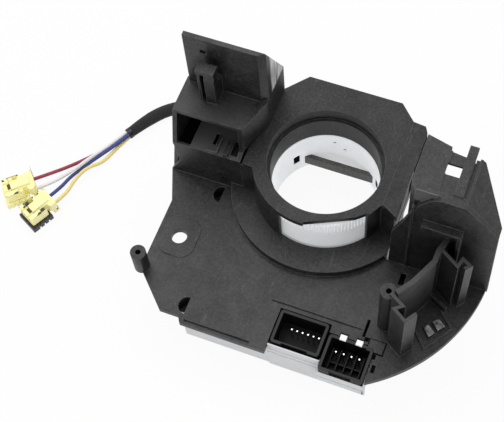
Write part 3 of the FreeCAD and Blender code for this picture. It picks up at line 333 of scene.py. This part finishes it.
plainLook = {"grain": 1300, "depth": 0.4, "mottle": 0.3, "dust": 0.4, "wearsheen": 0.5, "scratch": 0.0,
             "rough": 0.45, "edge": 0.25, "bump": 0.35, "reach": 0.5, "specular": 0.5, "metallic": 0.0,
             "glow": 0.0, "paintedGlowInside": 0, "patches": []}
looks = {
    "housing_black": {"colour": (0.013, 0.013, 0.0138), "pale": (0.16, 0.16, 0.16), "edge": 0.45, "wearsheen": 0.8,
                      "scratch": 0.22, "mottle": 0.75, "rough": 0.46, "patches": housingPatches},
    "collar_black": {"colour": (0.012, 0.012, 0.0128), "pale": (0.16, 0.16, 0.16), "edge": 0.45, "wearsheen": 0.8,
                     "scratch": 0.22, "mottle": 0.7, "rough": 0.48, "specular": 0.4},
    "rotor_black": {"colour": (0.012, 0.012, 0.013), "pale": (0.1, 0.1, 0.1)},
    # the socket black is set darker than the other mouldings: painted shade for the insides of the sockets
    "socket_black": {"colour": (0.004, 0.004, 0.0043), "pale": (0.2, 0.2, 0.2), "edge": 0.3, "rough": 0.5,
                     "specular": 0.2, "wearsheen": 0.9, "dust": 0.15, "patches": [rimPatch]},
    # the drum's white has a painted glow, strongest inside its radius
    "drum_white": {"colour": (0.80, 0.815, 0.83), "pale": (0.6, 0.61, 0.62), "mottle": 0.04, "wearsheen": 0.05,
                   "rough": 0.38, "edge": 0.12, "dust": 0.2, "glow": 0.42, "paintedGlowInside": 23.9,
                   "paintedGlowFade": 0.3, "paintedGlowOutside": 0.65},
    "gear_white": {"colour": (0.82, 0.82, 0.82), "pale": (0.6, 0.6, 0.6), "mottle": 0.02, "edge": 0.1},
    "bar_taupe": {"colour": (0.062, 0.06, 0.055), "pale": (0.2, 0.19, 0.17), "mottle": 0.4, "dust": 0.6},
    "cable_amber": {"colour": (0.16, 0.07, 0.018), "pale": (0.2, 0.12, 0.06), "mottle": 0.05, "rough": 0.25},
    "pin_metal": {"colour": (0.72, 0.71, 0.68), "pale": (0.4, 0.39, 0.36), "mottle": 0.05, "rough": 0.28,
                  "metallic": 1.0, "edge": 0.08},
    "board_green": {"colour": (0.03, 0.12, 0.06), "pale": (0.12, 0.16, 0.12), "mottle": 0.08, "rough": 0.3},
    "cover_grey": {"colour": (0.70, 0.71, 0.73), "pale": (0.5, 0.5, 0.51), "mottle": 0.03, "wearsheen": 0.08,
                   "rough": 0.5},
    "wire_red": {"colour": (0.33, 0.028, 0.07), "pale": (0.3, 0.08, 0.1), "mottle": 0.05, "wearsheen": 0.0},
    "wire_white": {"colour": (0.84, 0.84, 0.84), "pale": (0.6, 0.6, 0.6), "mottle": 0.02, "wearsheen": 0.0},
    "wire_blue": {"colour": (0.04, 0.055, 0.26), "pale": (0.1, 0.1, 0.26), "mottle": 0.05, "wearsheen": 0.0},
    "wire_yellow": {"colour": (0.88, 0.74, 0.26), "pale": (0.7, 0.6, 0.3), "mottle": 0.03, "wearsheen": 0.0},
    # painted glow: the yellow plugs give off a little of their own colour as light
    "plug_yellow": {"colour": (0.93, 0.87, 0.42), "pale": (0.94, 0.9, 0.66), "mottle": 0.03, "wearsheen": 0.3,
                    "rough": 0.36, "glow": 0.12},
    "lock_black": {"colour": (0.012, 0.012, 0.013), "pale": (0.1, 0.1, 0.1), "rough": 0.36},
    # a near-black matt finish for painted shade, on the pieces that stand in for shade in ports, slots, gaps
    # and under the bay
    "deep_black": {"colour": (0.002, 0.002, 0.002), "pale": (0.02, 0.02, 0.02), "rough": 0.85,
                   "specular": 0.05, "dust": 0.2, "wearsheen": 0.2},
}
finishes = {slot: moulded(slot.replace("_", " ").title().replace(" ", ""), {**plainLook, **look})
            for slot, look in looks.items()}


# the sleeve's braid: two sets of slanting strands, high where one crosses over the other, with painted shade in
# the low gaps between them

braidLook = {"colour": (0.012, 0.012, 0.014), "gap": (0.003, 0.003, 0.004), "around": 14, "perMetre": 1150,
             "rough": 0.62, "bump": 0.7, "reach": 0.4}


def makeBraid(s):
    # height = sin(turns + run) * sin(turns - run), with the turns round the sleeve and the run along it
    material, g, surface = newMaterial("SleeveBlack")
    around, gone = g.split(g.node("ShaderNodeUVMap", uv_map="strands").outputs["UV"])[:2]
    turns = g.maths("MULTIPLY", around, 2 * math.pi * s["around"])
    run = g.maths("MULTIPLY", gone, math.pi * s["perMetre"])
    strands = g.maths("MULTIPLY", g.maths("SINE", g.maths("ADD", turns, run)),
                      g.maths("SINE", g.maths("SUBTRACT", turns, run)))
    height = g.ramp(strands, -1.0, 1.0)
    g.wire(g.mixed(height, (*s["gap"], 1), (*s["colour"], 1)), surface.inputs["Base Color"])
    g.wire(raised(g, height, s), surface.inputs["Normal"])
    surface.inputs["Roughness"].default_value = s["rough"]
    return material


finishes["sleeve_black"] = makeBraid(braidLook)
slotOf = {part["node"]: part["material_slot"] for part in frame["record"]["subparts"]}
for name, node in nodes.items():
    node.data.materials.clear()
    node.data.materials.append(finishes[slotOf[name]])
print("materials made")


# copies of the mouldings with clean edges; the number is the width of the rounding, and the two large ones
# have theirs in the material

roundedNodes = {
    "switch_housing": 0, "column_collar": 0, "rotor_skirt": 0.3, "crossbar": 0.25, "reel_case": 0.2,
    "socket_6": 0.14, "socket_4": 0.14, "coding_pegs": 0.15, "lower_cover": 0.35, "cable_gland": 0.4,
    "plug_a": 0.22, "plug_a_lock": 0.15, "plug_b": 0.22, "plug_b_lock": 0.15, "circuit_board": 0.1,
}
sharpAngle = {"rounded": 32, "plain": 14}
weldGap = 0.002
bodies = frame["record"]["behaviour"]["bodies"]
bodyOf = {member: body for body, members in bodies.items() for member in members}


def roundEdges(piece, width):
    edge = piece.modifiers.new("edges", "BEVEL")
    edge.width = width * mm
    edge.segments = 2
    edge.harden_normals = True
    return edge


def roundedCopy(name, width):
    # the node's own mesh, its doubled points merged, then every sharp edge rounded by a small width
    angle = math.radians(sharpAngle["rounded" if width else "plain"])
    work = bmesh.new()
    work.from_mesh(nodes[name].data)
    bmesh.ops.remove_doubles(work, verts=work.verts, dist=weldGap * mm)
    mesh = bpy.data.meshes.new(name + "Mesh")
    work.to_mesh(mesh)
    work.free()
    for layer in list(mesh.attributes):
        if layer.name.startswith("custom_normal"):
            mesh.attributes.remove(layer)
    mesh.shade_smooth()
    mesh.set_sharp_from_angle(angle=angle)
    mesh.materials.clear()
    mesh.materials.append(finishes[slotOf[name]])
    piece = bpy.data.objects.new(name + "Rounded", mesh)
    scene.collection.objects.link(piece)
    if width:
        edge = roundEdges(piece, width)
        edge.limit_method = "ANGLE"
        edge.angle_limit = angle
        edge.use_clamp_overlap = False
    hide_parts(name)
    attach(piece, bodyOf[name])


for name, width in roundedNodes.items():
    roundedCopy(name, width)
print("mouldings rounded")


# surfaces made here

def addPiece(name, mesh, slotName, body, finish=None):
    mesh.materials.append(finishes[finish or slotName])
    piece = bpy.data.objects.new(name, mesh)
    scene.collection.objects.link(piece)
    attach(piece, body)
    return piece


def goneAlong(line):
    # the distance from a line's start to each of its points
    return np.concatenate([[0], np.cumsum(np.linalg.norm(np.diff(line, axis=0), axis=1))])


rimAngle = 50  # a tube's ends stay sharp against its side


def tubeMesh(name, line, radii, around, flat=1.0):
    # ovals of the given half widths carried along a line, each square to the line's own direction, with closed
    # ends: point = line + radius * (cos a * side + flat * sin a * above)
    tangent = np.gradient(line, axis=0)
    tangent /= np.linalg.norm(tangent, axis=1, keepdims=True)
    side = np.cross(tangent, (0.0, 0.0, 1.0))
    side /= np.linalg.norm(side, axis=1, keepdims=True)
    above = np.cross(side, tangent)
    angle = np.linspace(0, 2 * math.pi, around, endpoint=False)[None, :, None]
    oval = np.cos(angle) * side[:, None, :] + flat * np.sin(angle) * above[:, None, :]
    rings = line[:, None, :] + radii[:, None, None] * oval
    count = len(line)
    index = np.arange(count * around).reshape(count, around)
    follow = np.roll(index, -1, axis=1)
    quads = np.stack([index[:-1], index[1:], follow[1:], follow[:-1]], axis=-1).reshape(-1, 4)
    mesh = bpy.data.meshes.new(name)
    mesh.from_pydata(rings.reshape(-1, 3).tolist(), [],
                     quads.tolist() + [index[0].tolist(), index[-1][::-1].tolist()])
    # the UV map's u is the share of a turn and its v the distance along the line
    gone = goneAlong(line)
    here = np.broadcast_to(np.arange(around) / around, (count - 1, around))
    beside = here + 1 / around
    low = np.broadcast_to(gone[:-1, None], (count - 1, around))
    high = np.broadcast_to(gone[1:, None], (count - 1, around))
    corners = np.stack([np.stack([here, low], -1), np.stack([here, high], -1),
                        np.stack([beside, high], -1), np.stack([beside, low], -1)], axis=2)
    caps = np.zeros((2 * around, 2))
    layer = mesh.uv_layers.new(name="strands")
    layer.data.foreach_set("uv", np.concatenate([corners.reshape(-1, 2), caps]).ravel())
    mesh.shade_smooth()
    mesh.set_sharp_from_angle(angle=math.radians(rimAngle))
    return mesh


# the eight corners of a box as shares of its sides, and its six faces seen from outside
boxCorners = np.array([(x, y, z) for x in (0, 1) for y in (0, 1) for z in (0, 1)], float)
boxSides = np.array([(1, 3, 2, 0), (6, 7, 5, 4), (4, 5, 1, 0), (3, 7, 6, 2), (2, 6, 4, 0), (5, 7, 3, 1)])
plainBoxes = {"turns": None, "rounding": 0, "finish": None}


def boxesMesh(name, boxes, turns):
    # closed boxes, each from its low to its high corner: corner = low + (high - low) * share; a box may be
    # turned about the column axis by an angle: x = x0 cos a - y0 sin a, y = x0 sin a + y0 cos a
    low, high = np.asarray(boxes, float)[:, 0], np.asarray(boxes, float)[:, 1]
    corners = low[:, None, :] + (high - low)[:, None, :] * boxCorners[None, :, :]
    angle = np.radians(np.zeros(len(boxes)) if turns is None else np.asarray(turns, float))[:, None]
    x = corners[..., 0] * np.cos(angle) - corners[..., 1] * np.sin(angle)
    y = corners[..., 0] * np.sin(angle) + corners[..., 1] * np.cos(angle)
    places = np.stack([x, y, corners[..., 2]], -1).reshape(-1, 3) * mm
    quads = (boxSides + 8 * np.arange(len(boxes))[:, None, None]).reshape(-1, 4)
    mesh = bpy.data.meshes.new(name)
    mesh.from_pydata(places.tolist(), [], quads.tolist())
    return mesh


def addBoxes(name, slotName, body, s):
    s = {**plainBoxes, **s}
    piece = addPiece(name, boxesMesh(name, s["boxes"], s["turns"]), slotName, body, s["finish"])
    if s["rounding"]:
        roundEdges(piece, s["rounding"])


# painted shade: the dark space behind the drum's two ports, filled with a near-black box to just inside the
# port's own edges
portShade = {"boxes": [((23.75, -1.66, -35.95), (25.45, 1.66, -30.05))] * 2, "turns": (36.5, 143.5),
            "finish": "deep_black"}
addBoxes("portShade", "rotor_black", "rotor", portShade)

# two small gate marks on the drum's inner wall, sunk into it as deep as they stand proud
gateMarks = {"turns": (99.6, 88.0), "levels": (-24.2, -28.3), "wall": 23.5, "width": 1.3, "height": 0.5,
             "proud": 0.12}


def gateMarkBoxes(s):
    return [((s["wall"] - s["proud"], -s["width"] / 2, level),
             (s["wall"] + s["proud"], s["width"] / 2, level + s["height"])) for level in s["levels"]]


addBoxes("gateMarks", "bar_taupe", "rotor", {**gateMarks, "boxes": gateMarkBoxes(gateMarks)})

# painted shade: a near-black tray close under the bay's floor window and slot
bayShadeTray = {"boxes": [((-63.5, -11.7, -3.6), (-46.2, 8.3, -3.1))], "finish": "deep_black"}
addBoxes("bayShadeTray", "lock_black", "housing", bayShadeTray)

# a plate under the rest of the bay's floor
bayPlate = {"boxes": [((-46.1, -11.7, -3.6), (-36.3, 8.3, -3.1))]}
addBoxes("bayPlate", "housing_black", "housing", bayPlate)

# a low rib beside the bay's slot
bayRib = {"boxes": [((-46.8, -8.0, -1.02), (-45.9, -3.0, 0.7))], "rounding": 0.2}
addBoxes("bayRib", "housing_black", "housing", bayRib)

# the web between the bay's wall and the collar's corner
cornerWeb = {"boxes": [((-34.1, -12.1, -21.9), (-27.9, -11.3, -2.6))], "rounding": 0.2}
addBoxes("cornerWeb", "housing_black", "housing", cornerWeb)

# painted shade: near-black matt strips on the long outer faces of the collar's edge
collarEdgeShade = {"boxes": [((36.22, 8.0, -2.5), (36.4, 26.0, -0.15)),
                        ((35.15, 8.0, -21.9), (35.35, 24.5, -2.6))], "finish": "deep_black"}
addBoxes("collarEdgeShade", "collar_black", "housing", collarEdgeShade)

# painted shade: near-black sheets at the front of the slots that the two pegs stand in
pegSlotShade = {"boxes": [((28.5, -64.85, -35.98), (31.8, -64.55, -25.3)),
                       ((35.5, -64.85, -35.98), (38.8, -64.55, -25.3))], "finish": "deep_black"}
addBoxes("pegSlotShade", "socket_black", "housing", pegSlotShade)

# the cover's raised front before the sockets, in strips with a seam between each two
coverFront = {
    "boxes": [((1.2, -76.5, -37.5), (23.9, -75.64, -33.4)), ((1.2, -76.4, -33.1), (23.9, -75.64, -30.1)),
              ((1.2, -76.3, -29.8), (23.9, -75.64, -25.7)), ((1.2, -76.1, -48.6), (44.0, -75.64, -37.5)),
              ((23.9, -79.58, -37.9), (44.1, -79.43, -33.9)), ((23.9, -79.56, -33.6), (44.1, -79.43, -28.6)),
              ((43.65, -79.58, -37.9), (44.1, -75.64, -28.6))],
    "rounding": 0.05,
}
addBoxes("coverFront", "cover_grey", "housing", coverFront)

# a low raised block on the plate beside the four-way socket
plateBlock = {"boxes": [((40.6, -65.0, -26.02), (47.3, -59.6, -25.2))], "rounding": 0.2}
addBoxes("plateBlock", "housing_black", "housing", plateBlock)

# painted shade: thin near-black sheets for the gap round that block, and for the clip holes near it
plateGapShade = {
    "boxes": [((40.2, -65.4, -26.02), (47.7, -59.2, -25.9)), ((38.3, -61.2, -26.02), (40.1, -59.4, -25.88)),
              ((42.9, -67.7, -26.02), (45.1, -65.6, -25.88)), ((44.9, -73.4, -26.02), (46.4, -70.0, -25.88))],
    "finish": "deep_black",
}
addBoxes("plateGapShade", "socket_black", "housing", plateGapShade)

# guides round the pins of the four-way socket: a wall on each side of a pin and a low kerb before it
pinGuides = {"middle": 33.9, "pitch": 3.4, "walls": 5, "thick": 0.5, "front": -75.6, "back": -66.2,
             "low": -35.98, "high": -31.5, "kerb": (-72.4, -71.8), "kerbHigh": -32.8, "kerbInset": 0.3,
             "rounding": 0.1}


def pinGuideBoxes(s):
    # walls stand at middle + (number - half their count) * pitch, and a kerb lies between each two of them
    spots = s["middle"] + (np.arange(s["walls"]) - (s["walls"] - 1) / 2) * s["pitch"]
    walls = [((spot - s["thick"] / 2, s["front"], s["low"]), (spot + s["thick"] / 2, s["back"], s["high"]))
             for spot in spots]
    kerbFront, kerbBack = s["kerb"]
    kerbs = [((left + s["kerbInset"], kerbFront, s["low"]), (right - s["kerbInset"], kerbBack, s["kerbHigh"]))
             for left, right in zip(spots, spots[1:])]
    return walls + kerbs


addBoxes("pinGuides", "socket_black", "housing", {**pinGuides, "boxes": pinGuideBoxes(pinGuides)})
print("small pieces made")


# pigtail: sleeve and four wires

splineSteps = {"order": 3, "along": 24, "around": 6}


def splineCurve(name, points, radius):
    # one open NURBS spline with the route's points as its control points
    curve = bpy.data.curves.new(name, "CURVE")
    curve.dimensions = "3D"
    spline = curve.splines.new("NURBS")
    spline.points.add(len(points) - 1)
    for point, place in zip(spline.points, points):
        point.co = (*vec(*place), 1)
    spline.order_u = splineSteps["order"]
    spline.use_endpoint_u = True
    curve.resolution_u = splineSteps["along"]
    curve.bevel_depth = radius * mm
    curve.bevel_resolution = splineSteps["around"]
    curve.use_fill_caps = radius > 0
    return curve


def splineLine(points):
    # the points of the spline's own line
    probe = bpy.data.objects.new("probe", splineCurve("probeLine", points, 0))
    scene.collection.objects.link(probe)
    line = bpy.data.meshes.new_from_object(probe)
    places = np.zeros(len(line.vertices) * 3)
    line.vertices.foreach_get("co", places)
    bpy.data.objects.remove(probe)
    bpy.data.meshes.remove(line)
    return places.reshape(-1, 3)


def lengthOf(line):
    return float(goneAlong(line)[-1])


def placesAlong(line, spots):
    # the line's places at the given distances from its start
    gone = goneAlong(line)
    return np.stack([np.interp(spots, gone, line[:, axis]) for axis in range(3)], axis=1)


def layCord(cord, node, length):
    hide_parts(node)
    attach(cord, "rotor")
    print(node, "length", round(length * 1000, 1))


# the sleeve's half width swells where its braid is pushed together, given at shares of its length
sleeve = {
    "route": [(-31.9, 21.5, -53.2), (-44.8, 30.2, -53.2), (-58.6, 36.4, -53.2), (-73.4, 38.6, -53.2),
              (-88, 33.9, -53.2), (-98.6, 23.6, -53.2), (-104.9, 11.2, -53.2)],
    "radii": [(0, 2.2), (0.35, 2.3), (0.5, 2.6), (0.66, 3.2), (0.84, 3.2), (0.95, 2.75), (1, 2.5)],
    "flat": 0.84, "diameter": 5.4, "steps": 240, "around": 48,
}


# the smooth wrap round the sleeve's end, narrower by its lip towards the wires
endWrap = {"length": 2.0, "radius": 2.66, "lip": 0.1, "steps": 12, "around": 48}


def makeEndWrap(s, line):
    length = lengthOf(line)
    path = placesAlong(line, np.linspace(length - s["length"] * mm, length, s["steps"]))
    radii = (s["radius"] - s["lip"] * np.linspace(0, 1, s["steps"]) ** 3) * mm
    addPiece("sleeveEndWrap", tubeMesh("sleeveEndWrap", path, radii, s["around"]), "lock_black", "rotor")


def makeSleeve(s, wrap):
    line = splineLine(s["route"])
    length = lengthOf(line)
    spots = np.linspace(0, length, s["steps"])
    path = placesAlong(line, spots)
    radii = np.interp(spots / length, *zip(*s["radii"])) * mm
    mesh = tubeMesh("pigtailSleeve", path, radii, s["around"], s["flat"])
    mesh.materials.append(finishes["sleeve_black"])
    cord = bpy.data.objects.new("pigtailSleeve", mesh)
    scene.collection.objects.link(cord)
    makeEndWrap(wrap, line)
    layCord(cord, "cable_sleeve", length)


makeSleeve(sleeve, endWrap)

wireRadius = 0.85
wires = {
    "red": {"plug": "plug_a", "route": [
        (-105.75, 11.63, -54.15), (-110.3, 2.72, -54.15), (-118.4, -6.4, -54.9), (-125.2, -14.7, -53.8),
        (-131.6, -22.3, -51.8), (-136.9, -26.9, -51.8)]},
    "white": {"plug": "plug_a", "route": [
        (-105.75, 11.63, -52.25), (-110.3, 2.72, -52.25), (-116.4, -6.4, -52.7), (-121.6, -16.2, -52.4),
        (-128.2, -26.3, -51.8), (-133.5, -30.9, -51.8)]},
    "blue": {"plug": "plug_b", "route": [
        (-104.05, 10.77, -52.25), (-108.13, 2.75, -52.25), (-114.2, -5.8, -53.4), (-119.2, -12.9, -55),
        (-121.7, -20, -53.2), (-122.9, -27, -51.8), (-126.1, -33.2, -51.8)]},
    "yellow": {"plug": "plug_b", "route": [
        (-104.05, 10.77, -54.15), (-107.6, 2.3, -54.4), (-110.4, -6.8, -54), (-115.7, -12.8, -51.9),
        (-118.4, -20.6, -51.8), (-118.9, -29, -51.8), (-122.1, -35.2, -51.8)]},
}


def makeWire(colour, s):
    name, node = "wire" + colour.capitalize(), "wire_" + colour
    wire = bpy.data.objects.new(name, splineCurve(name, s["route"], wireRadius))
    wire.data.materials.append(finishes[node])
    scene.collection.objects.link(wire)
    layCord(wire, node, lengthOf(splineLine(s["route"])))


for colour, settings in wires.items():
    makeWire(colour, settings)
print("pigtail laid")


# floor, lights, world

studio = {
    "floorLevel": -56.05,
    "floorHalf": 3000,
    "floorWhite": 0.93,
    "floorShade": 0.86,
    "floorRough": 0.8,
    "overhead": {"place": (-170, 190, 640), "size": 520, "power": 1.8},
    "ambient": 0.8,
}


def makeWorld(s):
    # plain white where the camera looks past the floor, and a soft light for all else
    world = bpy.data.worlds.new("studio")
    scene.world = world
    world.use_nodes = True
    g = Graph(world.node_tree)
    world.node_tree.nodes.clear()
    soft, white = g.node("ShaderNodeBackground"), g.node("ShaderNodeBackground")
    for background, strength in ((soft, s["ambient"]), (white, 1.0)):
        background.inputs["Color"].default_value = (1, 1, 1, 1)
        background.inputs["Strength"].default_value = strength
    mix = g.node("ShaderNodeMixShader")
    g.wire(g.node("ShaderNodeLightPath").outputs["Is Camera Ray"], mix.inputs[0])
    g.wire(soft.outputs[0], mix.inputs[1])
    g.wire(white.outputs[0], mix.inputs[2])
    g.wire(mix.outputs[0], g.node("ShaderNodeOutputWorld").inputs["Surface"])


def makeLamp(name, s):
    # a square lamp that faces the column bore
    data = bpy.data.lights.new(name, "AREA")
    data.shape = "SQUARE"
    data.size = s["size"] * mm
    data.energy = s["power"]
    lamp = bpy.data.objects.new(name, data)
    scene.collection.objects.link(lamp)
    lamp.location = vec(*s["place"])
    lamp.rotation_mode = "QUATERNION"
    lamp.rotation_quaternion = (-lamp.location).to_track_quat("-Z", "Y")


def makeFloor(s):
    # white paper: mostly plain white where a camera, glossy or clear ray looks, the rest lit and shadowed
    half = s["floorHalf"]
    corners = ((-half, -half), (half, -half), (half, half), (-half, half))
    mesh = bpy.data.meshes.new("floor")
    mesh.from_pydata([vec(x, y, s["floorLevel"]) for x, y in corners], [], [(0, 1, 2, 3)])
    floor = bpy.data.objects.new("floor", mesh)
    scene.collection.objects.link(floor)
    material, g, surface = newMaterial("FloorPaper")
    surface.inputs["Base Color"].default_value = (*[s["floorShade"]] * 3, 1)
    surface.inputs["Roughness"].default_value = s["floorRough"]
    glow = g.node("ShaderNodeEmission")
    glow.inputs["Strength"].default_value = 1.0
    path = g.node("ShaderNodeLightPath")
    seen = g.maths("MAXIMUM", path.outputs["Is Camera Ray"], path.outputs["Is Glossy Ray"])
    seen = g.maths("MAXIMUM", seen, path.outputs["Is Transmission Ray"])
    mix = g.node("ShaderNodeMixShader")
    g.wire(g.maths("MULTIPLY", seen, s["floorWhite"]), mix.inputs[0])
    g.wire(surface.outputs[0], mix.inputs[1])
    g.wire(glow.outputs[0], mix.inputs[2])
    g.wire(mix.outputs[0], material.node_tree.nodes["Material Output"].inputs["Surface"])
    mesh.materials.append(material)


makeWorld(studio)
makeLamp("overhead", studio["overhead"])
makeFloor(studio)
scene.view_settings.view_transform = "Standard"
print("studio set")
